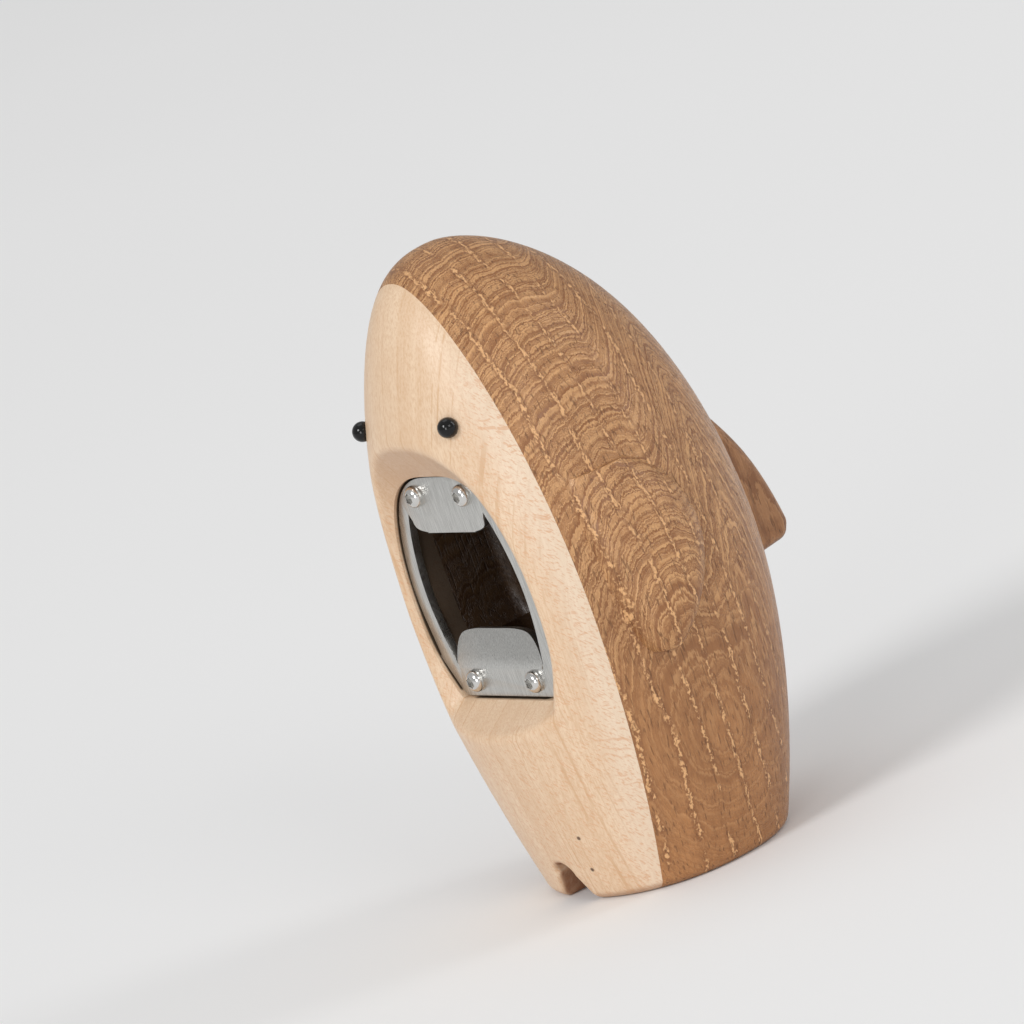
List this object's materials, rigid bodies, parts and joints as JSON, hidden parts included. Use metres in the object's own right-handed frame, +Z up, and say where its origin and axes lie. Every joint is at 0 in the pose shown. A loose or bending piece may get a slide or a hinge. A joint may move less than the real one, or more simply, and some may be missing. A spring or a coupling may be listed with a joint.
{
  "type": "shark bottle opener",
  "caption": "Wooden bottle opener carved as a shark standing on its tail, with a screwed stainless opener plate in its mouth.",
  "frame": {"origin": "where the body's upright axis meets the flat base that the shark stands on", "axes": "+Z up through the head; the shark looks along -Y; its left flank is on +X"},
  "size_m": [0.0552, 0.0565, 0.0926],
  "materials": {
    "maple": "satin, oiled pale maple",
    "oak": "satin, oiled oak",
    "oak_fin": "satin, oiled oak",
    "plate_steel": "brushed stainless sheet",
    "screw_steel": "bright stainless",
    "eye_bead": "polished black"
  },
  "bodies": {
    "root": {"front_body": "maple", "back_body": "oak", "dorsal_fin": "oak_fin", "opener_plate": "plate_steel", "plate_screw_upper_left": "screw_steel", "plate_screw_upper_right": "screw_steel", "plate_screw_lower_left": "screw_steel", "plate_screw_lower_right": "screw_steel", "eye_left": "eye_bead", "eye_right": "eye_bead"}
  },
  "joints": []
}
